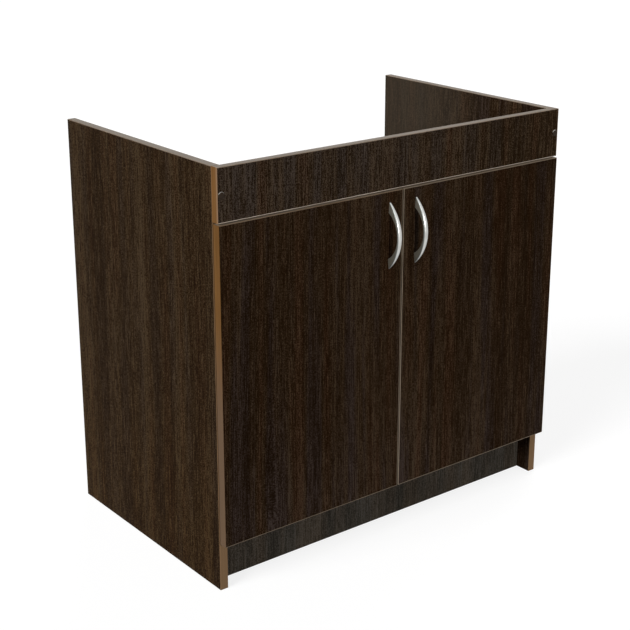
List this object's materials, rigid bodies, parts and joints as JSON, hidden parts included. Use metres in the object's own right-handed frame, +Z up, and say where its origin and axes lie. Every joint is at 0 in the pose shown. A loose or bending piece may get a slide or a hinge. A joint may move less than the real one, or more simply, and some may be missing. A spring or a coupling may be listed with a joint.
{
  "type": "sink base cabinet",
  "caption": "Open-topped base cabinet for an inset sink: dark wood-grain panels, false front, hinged doors with bow handles, recessed kick plate.",
  "frame": {"origin": "on the floor, midway between the side panels, at the foot of the kick plate's front face", "axes": "+Z up, +Y towards the open back, -Y towards the doors, +X to the right seen from the front"},
  "size_m": [0.8, 0.528, 0.775],
  "materials": {
    "front_board": "dark grained melamine, satin",
    "side_board": "dark grained melamine, satin",
    "inner_board": "dark grained melamine, satin",
    "plinth_board": "dark grained melamine, satin",
    "edge_band": "light brown edge banding",
    "handle_metal": "satin nickel",
    "screw_cap": "dark brown",
    "bumper": "clear soft",
    "dowel_wood": "plain beech",
    "cam_metal": "zinc",
    "hardware_steel": "nickel plated"
  },
  "bodies": {
    "carcass": {"apron": "front_board", "apron_bands": "edge_band", "apron_caps": "screw_cap", "apron_screws": "hardware_steel", "arm_pins": "hardware_steel", "arm_screws": "hardware_steel", "bottom_band": "edge_band", "bottom_panel": "inner_board", "cam_bolts": "hardware_steel", "cam_discs": "cam_metal", "dowels": "dowel_wood", "hinge_arms": "hardware_steel", "kick_plate": "plinth_board", "mounting_plates": "hardware_steel", "plate_screws": "hardware_steel", "rear_rail_low": "inner_board", "rear_rail_middle": "inner_board", "side_bands": "edge_band", "side_panel_left": "side_board", "side_panel_right": "side_board"},
    "left_outer_links": {"outer_links_left": "hardware_steel"},
    "left_door": {"cup_pins_left": "hardware_steel", "cup_screws_left": "hardware_steel", "door_bands_left": "edge_band", "door_bumper_left": "bumper", "door_left": "front_board", "handle_left": "handle_metal", "handle_screws_left": "hardware_steel", "hinge_cups_left": "hardware_steel"},
    "left_inner_links": {"inner_link_pins_left": "hardware_steel", "inner_links_left": "hardware_steel"},
    "right_outer_links": {"outer_links_right": "hardware_steel"},
    "right_door": {"cup_pins_right": "hardware_steel", "cup_screws_right": "hardware_steel", "door_bands_right": "edge_band", "door_bumper_right": "bumper", "door_right": "front_board", "handle_right": "handle_metal", "handle_screws_right": "hardware_steel", "hinge_cups_right": "hardware_steel"},
    "right_inner_links": {"inner_link_pins_right": "hardware_steel", "inner_links_right": "hardware_steel"}
  },
  "joints": [
    {"name": "left_outer_link_turn", "type": "hinge", "parent": "carcass", "child": "left_outer_links", "pos_m": [-0.375, -0.03, 0], "axis": [0, 0, -1], "range_deg": [-42.37, 0]},
    {"name": "left_door_swing", "type": "hinge", "parent": "left_outer_links", "child": "left_door", "pos_m": [-0.3905, -0.0415, 0], "axis": [0, 0, -1], "range_deg": [0, 134.32]},
    {"name": "left_inner_link_turn", "type": "hinge", "parent": "carcass", "child": "left_inner_links", "pos_m": [-0.363, -0.031, 0], "axis": [0, 0, -1], "range_deg": [-42.37, 0]},
    {"name": "right_outer_link_turn", "type": "hinge", "parent": "carcass", "child": "right_outer_links", "pos_m": [0.375, -0.03, 0], "axis": [0, 0, 1], "range_deg": [-42.37, 0]},
    {"name": "right_door_swing", "type": "hinge", "parent": "right_outer_links", "child": "right_door", "pos_m": [0.3905, -0.0415, 0], "axis": [0, 0, 1], "range_deg": [0, 134.32]},
    {"name": "right_inner_link_turn", "type": "hinge", "parent": "carcass", "child": "right_inner_links", "pos_m": [0.363, -0.031, 0], "axis": [0, 0, 1], "range_deg": [-42.37, 0]}
  ],
  "couplings": [
    {"joint": "left_outer_link_turn", "follows": "left_door_swing", "ratio": -0.31507},
    {"joint": "left_inner_link_turn", "follows": "left_door_swing", "ratio": -0.31507},
    {"joint": "right_outer_link_turn", "follows": "right_door_swing", "ratio": -0.31507},
    {"joint": "right_inner_link_turn", "follows": "right_door_swing", "ratio": -0.31507}
  ]
}
